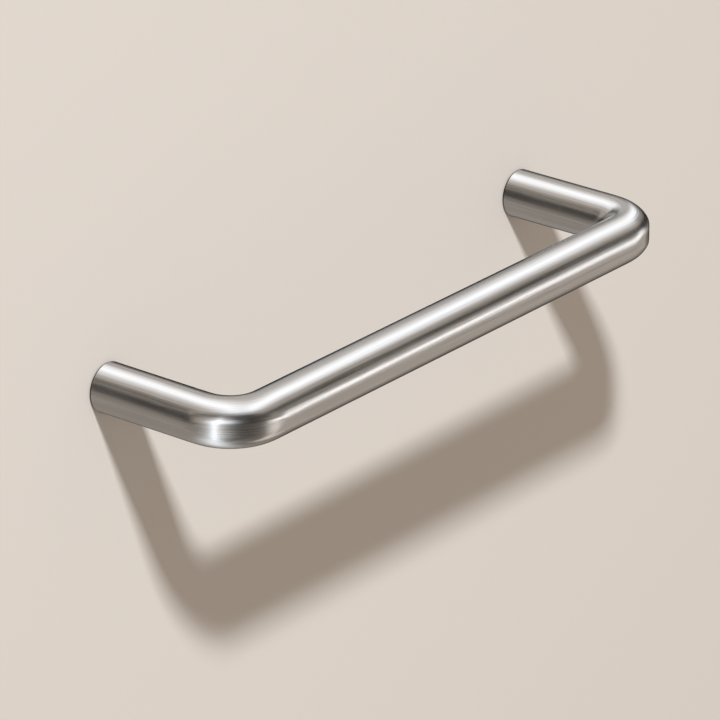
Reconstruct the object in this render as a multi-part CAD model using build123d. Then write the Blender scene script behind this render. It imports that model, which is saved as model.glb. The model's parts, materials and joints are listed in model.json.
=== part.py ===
from build123d import *
import os
from math import radians, sqrt, tan

# Bow handle for a drawer or door: one round stainless bar, bent square at both ends,
# with a tapped hole in each foot for a screw that comes from behind the front.
#
# The front's face is the plane z = 0. The grip runs along X, the legs stand along +Z,
# and the origin lies on the front's face, midway between the two screw holes.

# Driving dimensions, in millimetres and degrees
HOLE_CENTRES = 128.0        # from one screw hole to the other
BAR_DIAMETER = 10.0
PROJECTION = 37.0           # from the front's face to the outside of the grip
INNER_BEND_RADIUS = 3.0     # of the former that the bar is bent round
BEND_FLAT = 0.4             # how far the bar is drawn flat at the middle of a bend's outside
FOOT_EDGE_RADIUS = 0.5
TAP_DRILL = 3.3             # core hole of an M4 thread
HOLE_DEPTH = 13.0           # from the foot's face to the end of the full-width hole
HOLE_MOUTH_BEVEL = 0.4      # at 45 degrees, so that the screw starts easily
DRILL_POINT_ANGLE = 118.0

# Sizes that follow from them
bar_radius = BAR_DIAMETER / 2
half_span = HOLE_CENTRES / 2
grip_height = PROJECTION - bar_radius
bend_radius = INNER_BEND_RADIUS + bar_radius
drill_radius = TAP_DRILL / 2

# On the outside, the metal cuts each corner on a larger arc than a plain round bend would.
# The arc meets the straight sides smoothly, and its middle lies BEND_FLAT further in.
outer_bend_radius = bend_radius + bar_radius + BEND_FLAT / (sqrt(2) - 1)
outer_bend_x = half_span + bar_radius - outer_bend_radius
outer_bend_z = PROJECTION - outer_bend_radius


def bent_bar():
    """Round bar swept from one foot, up the leg, along the grip and down to the other foot."""
    centreline = FilletPolyline(
        (-half_span, 0, 0),
        (-half_span, 0, grip_height),
        (half_span, 0, grip_height),
        (half_span, 0, 0),
        radius=bend_radius,
    )
    section = Pos(-half_span, 0, 0) * Circle(bar_radius)
    return sweep(section, path=centreline)


def bend_trim():
    """What the drawn metal gives up outside one bend: a square corner less its rounded outside."""
    corner = Box(
        outer_bend_radius + bar_radius,
        BAR_DIAMETER,
        outer_bend_radius + bar_radius,
        align=(Align.MIN, Align.CENTER, Align.MIN),
    )
    rounded = Rot(X=90) * Cylinder(outer_bend_radius, 2 * BAR_DIAMETER)
    return Pos(outer_bend_x, 0, outer_bend_z) * (corner - rounded)


def tapped_hole():
    """Core hole with a bevelled mouth and a drill point, opening downwards at z = 0."""
    mouth_radius = drill_radius + HOLE_MOUTH_BEVEL
    point_length = drill_radius / tan(radians(DRILL_POINT_ANGLE / 2))
    half_section = Polyline(
        (0, 0, 0),
        (mouth_radius, 0, 0),
        (drill_radius, 0, HOLE_MOUTH_BEVEL),
        (drill_radius, 0, HOLE_DEPTH),
        (0, 0, HOLE_DEPTH + point_length),
        close=True,
    )
    return revolve(make_face(half_section), axis=Axis.Z)


def handle():
    """The finished bar: bends drawn flat, edges of the feet rounded, holes drilled."""
    trim = bend_trim()
    bar = bent_bar() - [trim, mirror(trim, about=Plane.YZ)]
    feet = bar.faces().filter_by(Plane.XY).group_by(Axis.Z)[0]
    bar = fillet(feet.edges(), FOOT_EDGE_RADIUS)
    hole = tapped_hole()
    return bar - [Pos(side * half_span, 0, 0) * hole for side in (-1, 1)]


os.makedirs("parts", exist_ok=True)
export_step(handle(), "parts/handle.step")
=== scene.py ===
import json
from math import acos, atan2, copysign, cos, hypot, pi, radians, sin, sqrt, tan
from typing import NamedTuple

import bpy
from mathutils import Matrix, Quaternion, Vector


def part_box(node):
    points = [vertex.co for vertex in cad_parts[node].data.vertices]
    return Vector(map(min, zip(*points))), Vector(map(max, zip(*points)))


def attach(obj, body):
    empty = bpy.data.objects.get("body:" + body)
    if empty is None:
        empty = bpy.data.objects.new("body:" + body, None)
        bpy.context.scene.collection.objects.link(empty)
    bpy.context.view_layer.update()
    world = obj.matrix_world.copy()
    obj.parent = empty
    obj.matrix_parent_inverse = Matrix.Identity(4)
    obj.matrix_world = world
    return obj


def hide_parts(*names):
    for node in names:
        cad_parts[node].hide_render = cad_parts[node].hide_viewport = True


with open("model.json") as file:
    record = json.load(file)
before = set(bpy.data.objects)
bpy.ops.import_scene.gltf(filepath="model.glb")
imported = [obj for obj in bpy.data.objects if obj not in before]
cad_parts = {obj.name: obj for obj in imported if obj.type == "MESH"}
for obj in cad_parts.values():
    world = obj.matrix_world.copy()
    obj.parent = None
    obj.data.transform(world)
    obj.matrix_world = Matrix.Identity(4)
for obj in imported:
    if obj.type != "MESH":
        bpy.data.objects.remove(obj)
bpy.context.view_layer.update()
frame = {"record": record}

bl_info = {
    "name": "Bow handle",
    "version": (1, 0, 0),
    "blender": (4, 5, 0),
    "location": "3D View > Sidebar > Handle",
    "description": "Models the bent bar of a bow handle with its brushed finish, and sets its stage",
    "category": "Object",
}

MILLIMETRE = 0.001

# What the frame says of the handle
handle_low, handle_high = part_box("handle")
mounts = {mount["name"]: mount["dims"] for mount in frame["record"]["mounts"]}

# How finely the bar is divided
AROUND = 96                 # faces round the bar
BEND_STEPS = 40             # along each bend
LEAD_STEPS = 14             # where a bend and its flat run out into the straight bar
APPROACH_STEPS = 10         # where the rows of faces draw in towards a flat
FLAT_ROWS = 4               # from the middle of a flat to its soft edge
EDGE_ROWS = 8               # across that soft edge
EASE_SAMPLES = 8            # to each side, where a bend is evened out along the bar
THREAD_CUTS = 11            # made twice, so that a hole has 144 rows of faces
EDGE_SEGMENTS = 3           # across a softened edge
FOOT_SEGMENTS = 10          # across the rounded edge of a foot
EDGE_MARGIN = 0.2 * MILLIMETRE      # of plain metal kept beside a rounded edge
LEAST_FLAT_ANGLE = radians(5)       # to each side, that a flat's rows keep where the flat runs out
SMOOTH_ANGLE = radians(14)          # faces that meet at less are shaded as one surface
NEAR = 0.01 * MILLIMETRE            # within which two places count as the same
MERGE_DISTANCE = 0.001 * MILLIMETRE


class BarSizes(bpy.types.PropertyGroup):
    """Sizes of the bent bar."""

    hole_centres: bpy.props.FloatProperty(
        name="Hole centres",
        description="From one screw hole to the other",
        default=mounts["screw_holes"]["spacing_x_mm"] * MILLIMETRE,
        unit="LENGTH",
    )
    bar_diameter: bpy.props.FloatProperty(
        name="Bar diameter",
        description="Thickness of the round bar",
        default=round(handle_high.y - handle_low.y, 4),
        unit="LENGTH",
    )
    projection: bpy.props.FloatProperty(
        name="Projection",
        description="From the feet to the outside of the grip",
        default=round(handle_high.z, 4),
        unit="LENGTH",
    )
    inner_bend_radius: bpy.props.FloatProperty(
        name="Inner bend radius",
        description="Of the former that the bar is bent round",
        default=3 * MILLIMETRE,
        unit="LENGTH",
    )
    bend_flat: bpy.props.FloatProperty(
        name="Bend flat",
        description="How far the bar is drawn flat at the middle of a bend's outside",
        default=0.4 * MILLIMETRE,
        unit="LENGTH",
    )
    bend_ease: bpy.props.FloatProperty(
        name="Bend ease",
        description="How far along the bar the ends of a bend and its flat are evened out",
        default=3 * MILLIMETRE,
        unit="LENGTH",
    )
    flat_softness: bpy.props.FloatProperty(
        name="Flat softness",
        description="How far the edge of a flat is rounded, to each side",
        default=0.5 * MILLIMETRE,
        unit="LENGTH",
    )
    foot_edge_radius: bpy.props.FloatProperty(
        name="Foot edge radius",
        description="Rounding of the edge of each foot",
        default=0.5 * MILLIMETRE,
        unit="LENGTH",
    )
    edge_softness: bpy.props.FloatProperty(
        name="Edge softness",
        description="Width of the rounding that brushing leaves on an edge",
        default=0.1 * MILLIMETRE,
        unit="LENGTH",
    )
    core_radius: bpy.props.FloatProperty(
        name="Core radius",
        description="Of the hole before it is tapped",
        default=mounts["left_thread"]["r_mm"] * MILLIMETRE,
        unit="LENGTH",
    )
    mouth_bevel: bpy.props.FloatProperty(
        name="Mouth bevel",
        description="Bevel where a screw starts, at 45 degrees",
        default=0.4 * MILLIMETRE,
        unit="LENGTH",
    )
    wall_length: bpy.props.FloatProperty(
        name="Wall length",
        description="Length of the straight wall of a hole",
        default=mounts["left_thread"]["length_mm"] * MILLIMETRE,
        unit="LENGTH",
    )
    point_angle: bpy.props.FloatProperty(
        name="Drill point",
        description="Angle of the point at the end of a hole",
        default=radians(118),
        subtype="ANGLE",
    )
    thread_radius: bpy.props.FloatProperty(
        name="Thread radius",
        description="From the axis of a hole to the bottom of its thread",
        default=2 * MILLIMETRE,
        unit="LENGTH",
    )
    thread_pitch: bpy.props.FloatProperty(
        name="Thread pitch",
        description="From one turn of the thread to the next",
        default=0.7 * MILLIMETRE,
        unit="LENGTH",
    )
    thread_length: bpy.props.FloatProperty(
        name="Thread length",
        description="From the foot to the end of the full thread",
        default=11.5 * MILLIMETRE,
        unit="LENGTH",
    )


class BarShape:
    """Sizes that follow from the ones a user sets, and where a point lies along the bar."""

    def __init__(self, sizes):
        self.bar_radius = sizes.bar_diameter / 2
        self.half_span = sizes.hole_centres / 2
        self.grip_height = sizes.projection - self.bar_radius
        self.bend_radius = sizes.inner_bend_radius + self.bar_radius
        self.bend_x = self.half_span - self.bend_radius
        self.bend_z = self.grip_height - self.bend_radius
        self.bend_length = self.bend_radius * pi / 2
        self.length = 2 * (self.bend_z + self.bend_length + self.bend_x)
        # The flat is an arc from leg to grip, which lies its depth inside the round bend at 45 degrees
        self.flat_radius = self.bend_radius + self.bar_radius + sizes.bend_flat / (sqrt(2) - 1)
        self.flat_x = self.half_span + self.bar_radius - self.flat_radius
        self.flat_z = sizes.projection - self.flat_radius
        self.ease = sizes.bend_ease
        self.lead = self.bend_x - self.flat_x + self.ease
        self.approach = self.bar_radius

    def section(self, point):
        """The cut across the bar at a point: distance along the bar, centre, and way out of the bow."""
        side = copysign(1, point.x)
        past_x = abs(point.x) - self.bend_x
        past_z = point.z - self.bend_z
        if past_z <= 0:
            turn = 0
            along = point.z
            centre = Vector((side * self.half_span, 0, point.z))
        elif past_x <= 0:
            turn = pi / 2
            along = self.bend_z + self.bend_length - past_x
            centre = Vector((point.x, 0, self.grip_height))
        else:
            turn = atan2(past_z, past_x)
            along = self.bend_z + self.bend_radius * turn
            reach_x = self.bend_x + self.bend_radius * cos(turn)
            centre = Vector((side * reach_x, 0, self.bend_z + self.bend_radius * sin(turn)))
        outward = Vector((side * cos(turn), 0, sin(turn)))
        return (along if side < 0 else self.length - along), centre, outward

    def sharp_section(self, along):
        """Centre and way out of the bow at a distance from the +X foot, where a bend starts abruptly."""
        turn = min(max((along - self.bend_z) / self.bend_radius, 0), pi / 2)
        before = min(along - self.bend_z, 0)
        after = max(along - self.bend_z - self.bend_length, 0)
        centre = Vector((
            self.bend_x + self.bend_radius * cos(turn) - after,
            0,
            self.bend_z + self.bend_radius * sin(turn) + before,
        ))
        return centre, Vector((cos(turn), 0, sin(turn)))

    def arc_depth(self, centre, outward):
        """How far inside the round bar the arc lies that trims the outside of a bend."""
        from_arc = Vector((centre.x - self.flat_x, 0, centre.z - self.flat_z))
        if min(from_arc.x, from_arc.z) < 0:
            return 0
        ahead = from_arc.dot(outward)
        reach = sqrt(ahead ** 2 - from_arc.length_squared + self.flat_radius ** 2)
        return self.bar_radius + ahead - reach

    def eased_section(self, along):
        """Centre, way out of the bow and depth of the flat, evened out along the bar."""
        centre, outward, depth, total = Vector(), Vector(), 0, 0
        for sample in range(-EASE_SAMPLES, EASE_SAMPLES + 1):
            share = sample / EASE_SAMPLES
            weight = 1 + cos(pi * share)
            sharp_centre, sharp_outward = self.sharp_section(along + share * self.ease)
            centre += weight * sharp_centre
            outward += weight * sharp_outward
            depth += weight * self.arc_depth(sharp_centre, sharp_outward)
            total += weight
        return centre / total, outward.normalized(), depth / total

    def before_flat(self, point):
        """How far a point of the straight bar lies before the end of the flat, or 0 beside the flat."""
        return max(0, self.bend_x - self.lead - point.x, self.bend_z - self.lead - point.z)


# Edit mode helpers


def clear_selection(piece):
    """Goes to object mode and deselects every part of the mesh."""
    bpy.ops.object.mode_set(mode="OBJECT")
    for group in (piece.data.polygons, piece.data.edges, piece.data.vertices):
        group.foreach_set("select", [False] * len(group))


def select_where(piece, test):
    """Selects the vertices whose place passes the test, and goes to edit mode."""
    clear_selection(piece)
    for vertex in piece.data.vertices:
        vertex.select = test(vertex.co)
    bpy.context.tool_settings.mesh_select_mode = (True, False, False)
    bpy.ops.object.mode_set(mode="EDIT")


def select_edges_where(piece, test):
    """Selects the edges whose two ends pass the test, and goes to edit mode."""
    clear_selection(piece)
    vertices = piece.data.vertices
    for edge in piece.data.edges:
        edge.select = test(*(vertices[index].co for index in edge.vertices))
    bpy.context.tool_settings.mesh_select_mode = (False, True, False)
    bpy.ops.object.mode_set(mode="EDIT")


def extrude(offset, steps=1):
    """Extrudes what is selected by an offset, in equal steps."""
    for _ in range(steps):
        bpy.ops.mesh.extrude_region_move(TRANSFORM_OT_translate={"value": Vector(offset) / steps})


def extrude_ring(rise, scale, axis_x):
    """Extrudes a foot's ring along its leg and scales it about the leg's axis."""
    extrude((0, 0, rise))
    bpy.ops.transform.resize(value=(scale, scale, 1), center_override=(axis_x, 0, 0))


def apply_modifier(piece, name, kind, **settings):
    """Adds a modifier and applies it."""
    bpy.ops.object.mode_set(mode="OBJECT")
    modifier = piece.modifiers.new(name, kind)
    for key, value in settings.items():
        setattr(modifier, key, value)
    bpy.ops.object.modifier_apply(modifier=name)


# The bent bar


def sweep_half_bar(shape, sizes):
    """Half of the bar, from the middle of the grip to the end of its hole."""
    bpy.ops.object.select_all(action="DESELECT")
    bpy.ops.mesh.primitive_circle_add(
        vertices=AROUND,
        radius=shape.bar_radius,
        location=(0, 0, shape.grip_height),
        rotation=(0, pi / 2, 0),
    )
    bar = bpy.context.object
    bar.name = bar.data.name = "bent_bar"
    bpy.ops.object.transform_apply(location=True, rotation=True, scale=True)
    bpy.ops.object.mode_set(mode="EDIT")
    bpy.ops.mesh.select_all(action="SELECT")
    extrude((shape.bend_x - shape.lead - shape.approach, 0, 0))
    extrude((shape.approach, 0, 0), APPROACH_STEPS)
    extrude((shape.lead, 0, 0), LEAD_STEPS)
    bpy.ops.mesh.spin(
        steps=BEND_STEPS,
        angle=pi / 2,
        center=(shape.bend_x, 0, shape.bend_z),
        axis=(0, -1, 0),
    )
    extrude((0, 0, -shape.lead), LEAD_STEPS)
    extrude((0, 0, -shape.approach), APPROACH_STEPS)
    foot_height = sizes.foot_edge_radius + EDGE_MARGIN
    extrude((0, 0, foot_height + shape.approach + shape.lead - shape.bend_z))
    extrude((0, 0, -foot_height))
    drill_foot(shape, sizes)
    return bar


def drill_foot(shape, sizes):
    """Face and core hole of a foot, from the selected end of the leg."""
    mouth_radius = sizes.core_radius + sizes.mouth_bevel
    last_radius = shape.bar_radius
    for rise, radius in (
        (0, shape.bar_radius - sizes.foot_edge_radius - EDGE_MARGIN),
        (0, mouth_radius + sizes.edge_softness + EDGE_MARGIN),
        (0, mouth_radius),
        (sizes.mouth_bevel, sizes.core_radius),
    ):
        extrude_ring(rise, radius / last_radius, shape.half_span)
        last_radius = radius
    extrude((0, 0, sizes.wall_length))
    extrude((0, 0, sizes.core_radius / tan(sizes.point_angle / 2)))
    bpy.ops.mesh.merge(type="CENTER")


def row_angle(row, inner, outer):
    """Angle of a row of vertices, with most rows where the flat turns into the round bar."""
    if row <= FLAT_ROWS:
        return inner * row / FLAT_ROWS
    if row <= FLAT_ROWS + EDGE_ROWS:
        return inner + (outer - inner) * (row - FLAT_ROWS) / EDGE_ROWS
    past = row - FLAT_ROWS - EDGE_ROWS
    return outer + (pi - outer) * past / (AROUND / 2 - FLAT_ROWS - EDGE_ROWS)


def draw_bend_flat(bar, shape, sizes):
    """Eases the bend and draws its outside flat, with a soft edge where the flat meets the round bar."""
    step = 2 * pi / AROUND
    soft_angle = sizes.flat_softness / shape.bar_radius
    bpy.ops.object.mode_set(mode="OBJECT")
    for vertex in bar.data.vertices:
        along, centre, outward = shape.section(vertex.co)
        off_surface = abs((vertex.co - centre).length - shape.bar_radius)
        away = shape.before_flat(vertex.co)
        if off_surface > NEAR or away > shape.approach:
            continue
        angle = atan2(vertex.co.y, (vertex.co - centre).dot(outward))
        centre, outward, depth = shape.eased_section(shape.length - along)
        level = shape.bar_radius - depth
        edge = acos(min(1, level / shape.bar_radius))
        drawn_in = 1 - away / shape.approach
        row_edge = max(edge, LEAST_FLAT_ANGLE)
        row_soft = min(soft_angle, row_edge / 2)
        row = abs(angle) / step
        new_angle = row_angle(row, row_edge - row_soft, row_edge + row_soft)
        angle = copysign(abs(angle) + (new_angle - abs(angle)) * drawn_in, angle)
        round_level = shape.bar_radius * cos(angle)
        blend = min(soft_angle, edge / 2) * shape.bar_radius * sin(edge)
        cut = max(0, blend - abs(round_level - level)) ** 2 / (4 * blend) if blend > 0 else 0
        vertex.co = centre + outward * (min(round_level, level) - cut)
        vertex.co.y = shape.bar_radius * sin(angle)


def round_foot(bar, shape, sizes):
    """Rounds the outer edge of the foot, and softens the edge of its hole."""
    for radius, rounding, segments in (
        (shape.bar_radius, sizes.foot_edge_radius, FOOT_SEGMENTS),
        (sizes.core_radius + sizes.mouth_bevel, sizes.edge_softness, EDGE_SEGMENTS),
    ):
        def on_ring(place):
            reach = hypot(place.x - shape.half_span, place.y)
            return abs(reach - radius) < NEAR and abs(place.z) < NEAR

        select_where(bar, on_ring)
        bpy.ops.mesh.bevel(offset=rounding, segments=segments)


def mirror_bar(bar):
    """Adds the other half of the bar, and turns every face outwards."""
    apply_modifier(
        bar,
        "other half",
        "MIRROR",
        use_axis=(True, False, False),
        merge_threshold=MERGE_DISTANCE,
    )
    bpy.ops.object.mode_set(mode="EDIT")
    bpy.ops.mesh.select_all(action="SELECT")
    bpy.ops.mesh.remove_doubles(threshold=MERGE_DISTANCE)
    bpy.ops.mesh.normals_make_consistent(inside=False)
    bpy.ops.object.mode_set(mode="OBJECT")


def thread_depth(phase):
    """Depth of the thread, from 0 at its crest to 1 at its root, for a phase from 0 to 1 of a turn."""
    # Shares of the pitch in a metric nut thread
    crest, flank, root = 0.25, 0.3125, 0.125
    climbed = (phase - crest) / flank
    fallen = (phase - crest - flank - root) / flank
    return min(max(climbed, 0), 1) - min(max(fallen, 0), 1)


def cut_threads(bar, shape, sizes):
    """Divides the wall of each hole into rows and cuts a right-hand thread in it."""
    wall_start = sizes.mouth_bevel
    wall_end = wall_start + sizes.wall_length

    def reach(place):
        return hypot(abs(place.x) - shape.half_span, place.y)

    def on_wall(place):
        return abs(reach(place) - sizes.core_radius) < NEAR and place.z > wall_start - NEAR

    def along_wall(first, second):
        straight = hypot(first.x - second.x, first.y - second.y) < NEAR
        return straight and on_wall(first) and on_wall(second)

    for _ in range(2):
        select_edges_where(bar, along_wall)
        bpy.ops.mesh.subdivide(number_cuts=THREAD_CUTS)
    bpy.ops.object.mode_set(mode="OBJECT")
    run_out = sizes.thread_pitch
    depth = sizes.thread_radius - sizes.core_radius
    for vertex in bar.data.vertices:
        if not on_wall(vertex.co) or vertex.co.z > wall_end - NEAR:
            continue
        axis = Vector((copysign(shape.half_span, vertex.co.x), 0, vertex.co.z))
        spoke = vertex.co - axis
        turn = atan2(spoke.y, spoke.x) / (2 * pi)
        phase = (vertex.co.z / sizes.thread_pitch - turn) % 1
        left = (sizes.thread_length + run_out - vertex.co.z) / run_out
        cut = depth * thread_depth(phase) * min(max(left, 0), 1)
        vertex.co = axis + spoke.normalized() * (sizes.core_radius + cut)


def note_straight_place(bar, shape):
    """Keeps on each vertex its place in the bar before it was bent: along, and twice across."""
    places = bar.data.attributes.new("straight_bar", "FLOAT_VECTOR", "POINT")
    for vertex, place in zip(bar.data.vertices, places.data):
        along, centre, outward = shape.section(vertex.co)
        place.vector = (along, vertex.co.y, (vertex.co - centre).dot(outward))


# Shader maths


class Number:
    """A shader socket that takes part in Python arithmetic."""

    def __init__(self, sheet, socket):
        self.sheet = sheet
        self.socket = socket

    def __add__(self, other):
        return self.sheet.math("ADD", self, other)

    def __sub__(self, other):
        return self.sheet.math("SUBTRACT", self, other)

    def __rsub__(self, other):
        return self.sheet.math("SUBTRACT", other, self)

    def __mul__(self, other):
        return self.sheet.math("MULTIPLY", self, other)

    __radd__ = __add__
    __rmul__ = __mul__


class NodeSheet:
    """A node tree that is filled from Python."""

    def __init__(self, owner):
        owner.use_nodes = True
        self.tree = owner.node_tree
        self.tree.nodes.clear()

    def node(self, kind, settings=None, sockets=None, output=0):
        """Adds a node with its settings, fills its sockets with values or links, and gives an output."""
        made = self.tree.nodes.new(kind)
        for name, value in (settings or {}).items():
            setattr(made, name, value)
        for name, value in (sockets or {}).items():
            if isinstance(value, Number):
                self.tree.links.new(value.socket, made.inputs[name])
            else:
                made.inputs[name].default_value = value
        if made.outputs:
            return Number(self, made.outputs[output])

    def math(self, operation, first, second):
        return self.node("ShaderNodeMath", {"operation": operation}, {0: first, 1: second})

    def vector_math(self, operation, sockets, output=0):
        return self.node("ShaderNodeVectorMath", {"operation": operation}, sockets, output)

    def dot(self, first, second):
        return self.vector_math("DOT_PRODUCT", {0: first, 1: second}, "Value")

    def scale(self, vector, factor):
        return self.vector_math("SCALE", {0: vector, "Scale": factor})


class SteelFinish(bpy.types.PropertyGroup):
    """Look of the satin stainless steel."""

    steel: bpy.props.FloatVectorProperty(
        name="Steel",
        description="Colour of the metal",
        default=(0.605, 0.605, 0.605),
        subtype="COLOR",
        size=3,
        min=0,
        max=1,
    )
    roughness: bpy.props.FloatProperty(
        name="Roughness",
        description="Mean roughness of the brushed metal",
        default=0.2,
        subtype="FACTOR",
        min=0,
        max=1,
    )
    # Painted shade: the feet's face and rounded edge are made much darker than the brushed metal,
    # standing in for the shade where each foot meets the floor
    painted_foot_shade_tone: bpy.props.FloatProperty(
        name="Turned tone",
        description="Lightness of the turned feet, against the brushed metal",
        default=0.2,
        subtype="FACTOR",
        min=0,
        max=1,
    )
    grain_width: bpy.props.FloatProperty(
        name="Grain width",
        description="Width of a brush line",
        default=0.25 * MILLIMETRE,
        unit="LENGTH",
    )
    grain_length: bpy.props.FloatProperty(
        name="Grain length",
        description="Length of a brush line",
        default=25 * MILLIMETRE,
        unit="LENGTH",
    )
    grain_depth: bpy.props.FloatProperty(
        name="Grain depth",
        description="Depth of a brush line",
        default=0.025 * MILLIMETRE,
        unit="LENGTH",
    )


# How the marks of brush, lathe and tap show in the steel
NOISE_MEAN = 0.5
NOISE_ROUGHNESS = 0.6       # how strong the finer grains of the noise are
FINE_STRENGTH = 0.7         # of the fine brush lines
BROAD_STRENGTH = 0.6        # of the broad brush lines
BROAD_LENGTH = 2            # length of a broad line, against a fine one
BROAD_WIDTH = 4             # width of a broad line, against a fine one
RING_STRENGTH = 1.4         # of the lathe's rings
RING_ROUGHNESS = 0.7        # how strong the finer rings are
TAP_STRENGTH = 1.2          # of the tap's marks
TAP_WIDTH = 0.3             # width of a tap mark, against a brush line
TAP_LENGTH = 0.1            # length of a tap mark, against a brush line
WEAR_LENGTH = 18 * MILLIMETRE
WEAR_WIDTH = 7 * MILLIMETRE
WEAR_STRENGTH = 0.3         # of the wear in the tone, against the marks
TONE_CONTRAST = 0.18        # part by which marks lighten or darken the steel
MARK_ROUGHNESS = 0.12       # that marks add or take away
WEAR_ROUGHNESS = 0.08       # that wear adds or takes away
TURNED_DULLNESS = 0.08      # roughness that the lathe adds
TAPPED_DULLNESS = 0.14      # roughness that the tap adds
BRUSHED, TURNED, TAPPED = range(3)      # order of the bar's materials


def drawn_noise(sheet, place, sizes, detail):
    """Noise whose grains have the given sizes along and across the bar, with a mean of 0."""
    stretched = sheet.vector_math("DIVIDE", {0: place, 1: sizes})
    noise = sheet.node(
        "ShaderNodeTexNoise",
        {"noise_dimensions": "3D"},
        {"Vector": stretched, "Scale": 1.0, "Detail": detail, "Roughness": NOISE_ROUGHNESS},
    )
    return noise - NOISE_MEAN


def brush_marks(sheet, place, look):
    """Fine and broad lines along the bar, which the brush leaves."""
    width, length = look.grain_width, look.grain_length
    broad_width, broad_length = BROAD_WIDTH * width, BROAD_LENGTH * length
    fine = drawn_noise(sheet, place, (length, width, width), detail=3)
    broad = drawn_noise(sheet, place, (broad_length, broad_width, broad_width), detail=2)
    return FINE_STRENGTH * fine + BROAD_STRENGTH * broad


def lathe_marks(sheet, place, look):
    """Rings that facing a foot in the lathe leaves."""
    across = sheet.vector_math("MULTIPLY", {0: place, 1: (0, 1, 1)})
    radius = sheet.vector_math("LENGTH", {0: across}, "Value")
    rings = sheet.node(
        "ShaderNodeTexNoise",
        {"noise_dimensions": "1D"},
        {"W": radius * (1 / look.grain_width), "Scale": 1.0, "Detail": 3.0, "Roughness": RING_ROUGHNESS},
    )
    return RING_STRENGTH * (rings - NOISE_MEAN)


def tap_marks(sheet, place, look):
    """Marks round the hole, which the drill and the tap leave."""
    width, length = TAP_WIDTH * look.grain_width, TAP_LENGTH * look.grain_length
    return TAP_STRENGTH * drawn_noise(sheet, place, (width, length, length), detail=3)


def steel_material(look, name, mark, lightness=1, dullness=0):
    """Stainless steel whose marks show in its tone, its gloss and its surface."""
    material = bpy.data.materials.new(name)
    sheet = NodeSheet(material)
    place = sheet.node("ShaderNodeAttribute", {"attribute_name": "straight_bar"}, output="Vector")
    marks = mark(sheet, place, look)
    wear = drawn_noise(sheet, place, (WEAR_LENGTH, WEAR_WIDTH, WEAR_WIDTH), detail=2)
    steel = lightness * Vector(look.steel)
    tone = sheet.node(
        "ShaderNodeMix",
        {"data_type": "RGBA"},
        {
            "Factor": NOISE_MEAN + marks + WEAR_STRENGTH * wear,
            "A": (*((1 - TONE_CONTRAST) * steel), 1),
            "B": (*((1 + TONE_CONTRAST) * steel), 1),
        },
        output="Result",
    )
    grooves = sheet.node("ShaderNodeBump", None, {"Distance": look.grain_depth, "Height": marks})
    metal = sheet.node(
        "ShaderNodeBsdfPrincipled",
        None,
        {
            "Base Color": tone,
            "Metallic": 1.0,
            "Roughness": look.roughness + dullness + MARK_ROUGHNESS * marks + WEAR_ROUGHNESS * wear,
            "Normal": grooves,
        },
    )
    sheet.node("ShaderNodeOutputMaterial", None, {"Surface": metal})
    return material


def finish_faces(bar, shape, sizes, look):
    """Brushed outside, tapped holes, and turned feet whose tone is darkened as painted shade where they
    meet the floor.
    """
    for material in (
        steel_material(look, "brushed_steel", brush_marks),
        # Turned steel with lathe rings, its tone darkened as painted shade round the feet
        steel_material(look, "turned_steel_with_painted_shade", lathe_marks, look.painted_foot_shade_tone, TURNED_DULLNESS),
        steel_material(look, "tapped_steel", tap_marks, dullness=TAPPED_DULLNESS),
    ):
        bar.data.materials.append(material)
    mouth_radius = sizes.core_radius + sizes.mouth_bevel
    for face in bar.data.polygons:
        middle = face.center
        reach = hypot(abs(middle.x) - shape.half_span, middle.y)
        if reach < mouth_radius and middle.z < shape.flat_z:
            face.material_index = TAPPED
        # The foot's face and rounded edge take the turned steel, darkened as painted shade where the
        # foot meets the floor
        elif middle.z < sizes.foot_edge_radius:
            face.material_index = TURNED
        else:
            face.material_index = BRUSHED


class HANDLE_OT_model_bar(bpy.types.Operator):
    """Models the bent bar with its feet, flats and tapped holes, and brushes it"""

    bl_idname = "handle.model_bar"
    bl_label = "Model bent bar"

    def execute(self, context):
        sizes = context.scene.bar_sizes
        shape = BarShape(sizes)
        bar = sweep_half_bar(shape, sizes)
        draw_bend_flat(bar, shape, sizes)
        round_foot(bar, shape, sizes)
        mirror_bar(bar)
        cut_threads(bar, shape, sizes)
        note_straight_place(bar, shape)
        finish_faces(bar, shape, sizes, context.scene.steel_finish)
        bpy.ops.object.shade_smooth_by_angle(angle=SMOOTH_ANGLE)
        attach(bar, "root")
        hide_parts("handle")
        return {"FINISHED"}


# The stage

SENSOR_WIDTH = 36           # of the camera, in millimetres


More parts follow.
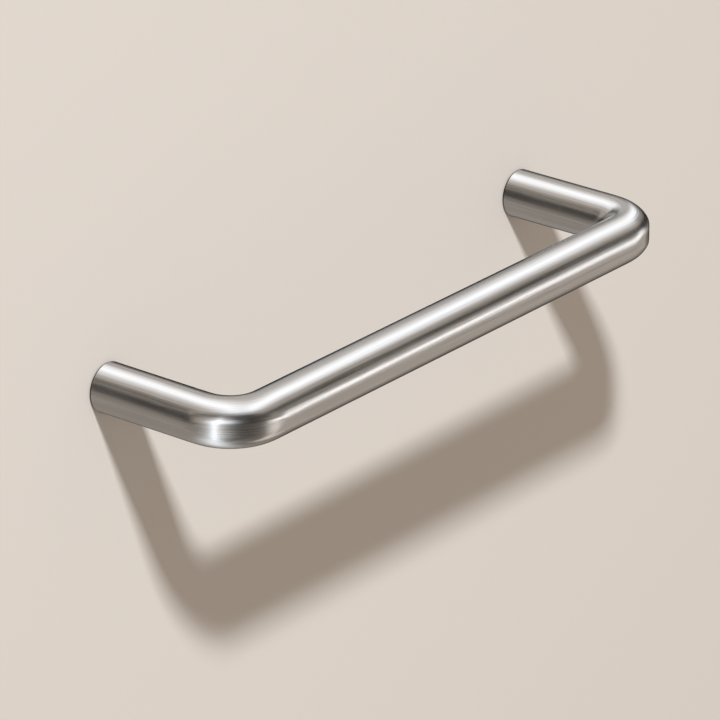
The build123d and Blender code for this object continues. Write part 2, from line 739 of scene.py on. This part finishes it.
class StudioStage(bpy.types.PropertyGroup):
    """Floor, light and camera."""

    floor_colour: bpy.props.FloatVectorProperty(
        name="Floor",
        description="Colour of the floor",
        default=(0.725, 0.655, 0.59),
        subtype="COLOR",
        size=3,
        min=0,
        max=1,
    )
    floor_size: bpy.props.FloatProperty(
        name="Floor size",
        description="Width of the floor",
        default=6,
        unit="LENGTH",
    )
    room_colour: bpy.props.FloatVectorProperty(
        name="Room",
        description="Tint of the room that the metal mirrors between the lights",
        default=(1.13, 1.0, 0.87),
        subtype="COLOR",
        size=3,
        min=0,
        max=2,
    )
    box_colour: bpy.props.FloatVectorProperty(
        name="Softboxes",
        description="Tint of the softboxes",
        default=(0.94, 1.0, 1.075),
        subtype="COLOR",
        size=3,
        min=0,
        max=2,
    )
    fill_colour: bpy.props.FloatVectorProperty(
        name="Fill",
        description="Even light from all round; the key light makes it up to white on the floor",
        default=(0.44, 0.40, 0.36),
        subtype="COLOR",
        size=3,
        min=0,
        max=1,
    )
    key_place: bpy.props.FloatVectorProperty(
        name="Key light",
        description="Place of the lamp that throws the shadow",
        default=(0.37, -0.71, 0.435),
        subtype="TRANSLATION",
        size=3,
    )
    key_width: bpy.props.FloatProperty(
        name="Key width",
        description="Width of that lamp",
        default=0.075,
        unit="LENGTH",
    )
    key_height: bpy.props.FloatProperty(
        name="Key height",
        description="Height of that lamp",
        default=0.055,
        unit="LENGTH",
    )
    camera_place: bpy.props.FloatVectorProperty(
        name="Camera",
        description="Place of the camera",
        default=(0.76336, -0.40686, 0.62169),
        subtype="TRANSLATION",
        size=3,
    )
    camera_target: bpy.props.FloatVectorProperty(
        name="Target",
        description="Point at the middle of the view",
        default=(-0.01256, 0.02029, 0),
        subtype="TRANSLATION",
        size=3,
    )
    camera_roll: bpy.props.FloatProperty(
        name="Roll",
        description="Turn of the camera about its view",
        default=radians(107.53),
        subtype="ANGLE",
    )
    camera_lens: bpy.props.FloatProperty(
        name="Lens",
        description="Focal length in millimetres, on a sensor 36 mm wide",
        default=270.16,
    )


def lay_floor(stage):
    """Plain pale floor that metal doesn't mirror."""
    bpy.ops.object.select_all(action="DESELECT")
    bpy.ops.mesh.primitive_plane_add(size=stage.floor_size)
    floor = bpy.context.object
    floor.name = "floor"
    material = bpy.data.materials.new("pale_floor")
    sheet = NodeSheet(material)
    matt = sheet.node("ShaderNodeBsdfDiffuse", None, {"Color": (*stage.floor_colour, 1)})
    sheet.node("ShaderNodeOutputMaterial", None, {"Surface": matt})
    floor.data.materials.append(material)
    floor.visible_glossy = False


def hang_key_light(stage):
    """Small lamp that throws the handle's shadow, aimed level so that the floor is lit evenly."""
    place = Vector(stage.key_place)
    aim = Vector((-place.x, -place.y, 0)).normalized()
    bpy.ops.object.light_add(type="AREA", location=place)
    lamp = bpy.context.object
    lamp.name = "key_light"
    lamp.visible_glossy = False
    lamp.rotation_euler = aim.to_track_quat("-Z", "Y").to_euler()
    lamp.data.shape = "RECTANGLE"
    lamp.data.size = stage.key_width
    lamp.data.size_y = stage.key_height
    # Power that lights a white floor to 1: pi squared over the cosines at the floor and at the lamp
    lamp.data.energy = pi ** 2 * place.length ** 2 / (place.z * -place.dot(aim))
    sheet = NodeSheet(lamp.data)
    even = sheet.node("ShaderNodeLightFalloff", None, {"Strength": 1.0}, "Constant")
    colour = (*(1 - part for part in stage.fill_colour), 1)
    glow = sheet.node("ShaderNodeEmission", None, {"Color": colour, "Strength": even})
    sheet.node("ShaderNodeOutputLight", None, {"Surface": glow})


class SoftBox(NamedTuple):
    """A softbox, glow or black card far from the handle, by the way that leads to it, in degrees."""

    turn: float         # sideways, from straight out of the front towards +X
    rise: float         # up the front, towards -Y
    tilt: float         # of its sides, about that way
    half_width: float
    half_height: float
    softness: float     # half the width of its soft edge
    strength: float     # of its light, or the part of the light that a black card takes away

    def axes(self):
        """The way to the box's middle, and its own sideways and upwards."""
        turn, rise, tilt = radians(self.turn), radians(self.rise), radians(self.tilt)
        centre = Vector((sin(turn) * cos(rise), -sin(rise), cos(turn) * cos(rise)))
        level = Vector((cos(turn), 0, -sin(turn)))
        upright = Vector((-sin(turn) * sin(rise), -cos(rise), -cos(turn) * sin(rise)))
        side = level * cos(tilt) + upright * sin(tilt)
        return centre, side, upright * cos(tilt) - level * sin(tilt)

    def mask(self, sheet, way):
        """1 where the box is seen, falling to 0 over its soft edge."""
        centre, side, upright = (sheet.dot(way, axis) for axis in self.axes())
        inside = 1
        for offset, half_size in ((side, self.half_width), (upright, self.half_height)):
            angle = sheet.math("ARCTAN2", sheet.math("ABSOLUTE", offset, 0), centre)
            inside = inside * sheet.node(
                "ShaderNodeMapRange",
                {"interpolation_type": "SMOOTHSTEP"},
                {
                    "Value": angle,
                    "From Min": radians(half_size - self.softness),
                    "From Max": radians(half_size + self.softness),
                    "To Min": 1.0,
                    "To Max": 0.0,
                },
            )
        return inside


SOFTBOXES = (
    SoftBox(173, 80, 120, 54, 16, 20, 1.25),    # overhead
    SoftBox(-87, 49, 47, 44, 11, 11, 1.25),     # edge of the overhead box, over the grip
    SoftBox(-140, 14, 21, 7, 25, 2, 0.65),      # strip behind the grip
    SoftBox(-131, 17, -18, 3, 9, 2, 0.3),       # narrow strip over the grip
    SoftBox(-42, -6, -27, 34, 5, 3, 1.1),       # strip along the grip
    SoftBox(-65, 3, 20, 12, 8, 4, 0.9),         # end of that strip, beside the far bend
    SoftBox(61, 7, -1, 26, 22, 15, 1.35),       # beside the near bend
    SoftBox(73, 3, 5, 4, 46, 5, 0.95),          # lamp in that box
    SoftBox(92, -60, 27, 2, 43, 25, 2.3),       # low, beside the near leg
)
ROOM_LEVEL = 0.38
ROOM_SLOPE = (0, -0.145, -0.08)                 # how much lighter the room is along each axis
ROOM_GLOWS = (
    SoftBox(-34, -38, -33, 57, 30, 4, 0.67),    # floor below the grip
    SoftBox(129, 27, 49, 3, 7, 3, 3.8),         # gap in the card beside the legs
)
BLACK_CARDS = (
    SoftBox(-64, 19, 24, 60, 7, 2, 0.74),       # between the overhead box and the strip
    SoftBox(-49, 13, 24, 12, 5, 3, 0.28),       # soft lower edge of that card
    SoftBox(-52, -23, 20, 14, 2, 2, 0.15),      # below the strip
    SoftBox(19, -10, -8, 30, 68, 18, 0.8),      # between the strip and the box beside the bend
    SoftBox(47, 49, 6, 61, 10, 2, 0.61),        # between the overhead box and the box beside the bend
    SoftBox(-77, -11, 45, 24, 43, 3, 0.51),     # behind the far end of the grip
    SoftBox(127, 16, -16, 10, 24, 11, 0.97),    # beside the legs
    SoftBox(113, -14, 0, 10, 7, 5, 0.6),        # foot of that card
    SoftBox(-138, -5, -36, 31, 19, 14, 0.94),   # behind the handle
    SoftBox(-134, -22, -10, 29, 21, 7, 0.85),   # behind the handle, straight on, which its rims mirror
    SoftBox(-124, 8, 0, 5, 11, 2, 0.6),         # over that card, which the legs' rims mirror
    SoftBox(172, -8, 0, 36, 18, 6, 0.85),       # shade on the floor, which the feet mirror
)


def light_studio(stage):
    """Even light on the floor, and softboxes for the metal to mirror."""
    world = bpy.data.worlds.new("studio")
    bpy.context.scene.world = world
    world.cycles.sampling_method = "NONE"
    sheet = NodeSheet(world)
    way = sheet.node("ShaderNodeTexCoord", output="Generated")
    room = ROOM_LEVEL + sheet.dot(way, ROOM_SLOPE)
    for glow in ROOM_GLOWS:
        room = room + glow.strength * glow.mask(sheet, way)
    boxes = 0
    for box in SOFTBOXES:
        boxes = boxes + box.strength * box.mask(sheet, way)
    shade = 1
    for card in BLACK_CARDS:
        shade = shade * (1 - card.strength * card.mask(sheet, way))
    room_light = sheet.scale(stage.room_colour, room * shade)
    box_light = sheet.scale(stage.box_colour, boxes * shade)
    seen = sheet.vector_math("ADD", {0: room_light, 1: box_light})
    mirrored = sheet.node("ShaderNodeBackground", None, {"Color": seen})
    even = sheet.node("ShaderNodeBackground", None, {"Color": (*stage.fill_colour, 1)})
    backdrop = sheet.node("ShaderNodeBackground", None, {"Color": (*stage.floor_colour, 1)})
    glossy = sheet.node("ShaderNodeLightPath", output="Is Glossy Ray")
    camera = sheet.node("ShaderNodeLightPath", output="Is Camera Ray")
    light = sheet.node("ShaderNodeMixShader", None, {0: glossy, 1: even, 2: mirrored})
    light = sheet.node("ShaderNodeMixShader", None, {0: camera, 1: light, 2: backdrop})
    sheet.node("ShaderNodeOutputWorld", None, {"Surface": light})


def set_camera(stage):
    """Camera at the photograph's angle."""
    bpy.ops.object.camera_add(location=stage.camera_place)
    camera = bpy.context.object
    camera.name = "camera"
    view = Vector(stage.camera_target) - Vector(stage.camera_place)
    turn = view.to_track_quat("-Z", "Y") @ Quaternion((0, 0, 1), stage.camera_roll)
    camera.rotation_euler = turn.to_euler()
    camera.data.lens = stage.camera_lens
    camera.data.sensor_width = SENSOR_WIDTH
    bpy.context.scene.camera = camera


class HANDLE_OT_set_stage(bpy.types.Operator):
    """Lays the floor, hangs the lights and sets the camera"""

    bl_idname = "handle.set_stage"
    bl_label = "Set stage"

    def execute(self, context):
        stage = context.scene.studio_stage
        lay_floor(stage)
        hang_key_light(stage)
        light_studio(stage)
        set_camera(stage)
        context.scene.view_settings.view_transform = "Standard"
        return {"FINISHED"}


class VIEW3D_PT_handle(bpy.types.Panel):
    """Lists the handle's steps and what can be set"""

    bl_label = "Bow handle"
    bl_space_type = "VIEW_3D"
    bl_region_type = "UI"
    bl_category = "Handle"

    def draw(self, context):
        scene = context.scene
        for operator, group in (
            (HANDLE_OT_model_bar, scene.bar_sizes),
            (None, scene.steel_finish),
            (HANDLE_OT_set_stage, scene.studio_stage),
        ):
            box = self.layout.box()
            if operator:
                box.operator(operator.bl_idname)
            for name in group.bl_rna.properties.keys():
                if name not in ("rna_type", "name"):
                    box.prop(group, name)


CLASSES = (
    BarSizes,
    SteelFinish,
    StudioStage,
    HANDLE_OT_model_bar,
    HANDLE_OT_set_stage,
    VIEW3D_PT_handle,
)


def register():
    for entry in CLASSES:
        bpy.utils.register_class(entry)
    bpy.types.Scene.bar_sizes = bpy.props.PointerProperty(type=BarSizes)
    bpy.types.Scene.steel_finish = bpy.props.PointerProperty(type=SteelFinish)
    bpy.types.Scene.studio_stage = bpy.props.PointerProperty(type=StudioStage)


def unregister():
    del bpy.types.Scene.bar_sizes
    del bpy.types.Scene.steel_finish
    del bpy.types.Scene.studio_stage
    for entry in reversed(CLASSES):
        bpy.utils.unregister_class(entry)


def main():
    register()
    bpy.ops.handle.model_bar()
    bpy.ops.handle.set_stage()


if __name__ == "__main__":
    main()
